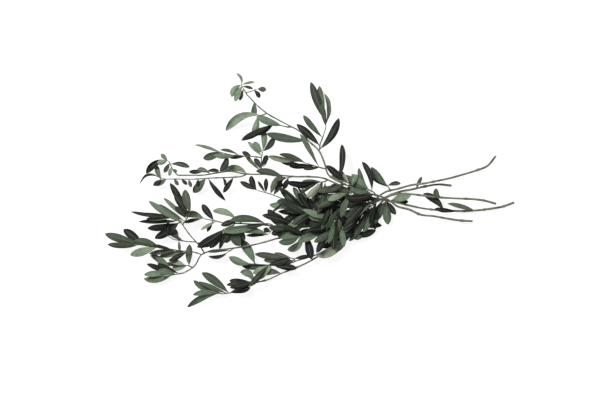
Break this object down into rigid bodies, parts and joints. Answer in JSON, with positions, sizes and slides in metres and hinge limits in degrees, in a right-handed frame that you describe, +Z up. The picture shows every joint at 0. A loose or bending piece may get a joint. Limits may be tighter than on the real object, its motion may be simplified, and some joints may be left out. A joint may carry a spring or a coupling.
{
  "type": "bunch of dried olive leaves",
  "caption": "Loose bunch of dried olive branches lying flat: bare crossed stems at one end, long narrow leaves fanning out at the other.",
  "frame": {"origin": "centre of the bunch's footprint, on the surface it lies on", "axes": "+X towards the cut ends of the stems, +Z up from the surface, +Y across the bunch"},
  "size_m": [0.6166, 0.352, 0.0643],
  "materials": {
    "bark": "dry grey-green olive bark",
    "leaf": "dried matte leaf, dark green above, pale sage below"
  },
  "bodies": {
    "root": {"leaf_1f": "leaf", "leaf_1i": "leaf", "leaf_2e": "leaf", "leaf_2m": "leaf", "leaf_2n": "leaf", "leaf_2o": "leaf", "leaf_3m": "leaf", "leaf_4h": "leaf", "leaf_5a": "leaf", "leaf_5e": "leaf", "shoot_1a": "leaf", "shoot_1b": "leaf", "shoot_1c": "leaf", "shoot_1d": "leaf", "shoot_1e": "leaf", "shoot_1g": "leaf", "shoot_1j": "leaf", "shoot_2a": "leaf", "shoot_2b": "leaf", "shoot_2d": "leaf", "shoot_2f": "leaf", "shoot_2g": "leaf", "shoot_2h": "leaf", "shoot_2i": "leaf", "shoot_2j": "leaf", "shoot_2k": "leaf", "shoot_2l": "leaf", "shoot_3a": "leaf", "shoot_3c": "leaf", "shoot_3d": "leaf", "shoot_3e": "leaf", "shoot_3g": "leaf", "shoot_3h": "leaf", "shoot_3i": "leaf", "shoot_3j": "leaf", "shoot_3k": "leaf", "shoot_3l": "leaf", "shoot_4a": "leaf", "shoot_4b": "leaf", "shoot_4c": "leaf", "shoot_4d": "leaf", "shoot_4e": "leaf", "shoot_4f": "leaf", "shoot_4i": "leaf", "shoot_4j": "leaf", "shoot_4k": "leaf", "shoot_4l": "leaf", "shoot_5b": "leaf", "shoot_5c": "leaf", "shoot_5d": "leaf", "shoot_5f": "leaf", "shoot_5g": "leaf", "shoot_6a": "leaf", "shoot_6b": "leaf", "stem_1": "bark", "stem_2": "bark", "stem_3": "bark", "stem_4": "bark", "stem_5": "bark", "stem_6": "bark"}
  },
  "joints": []
}
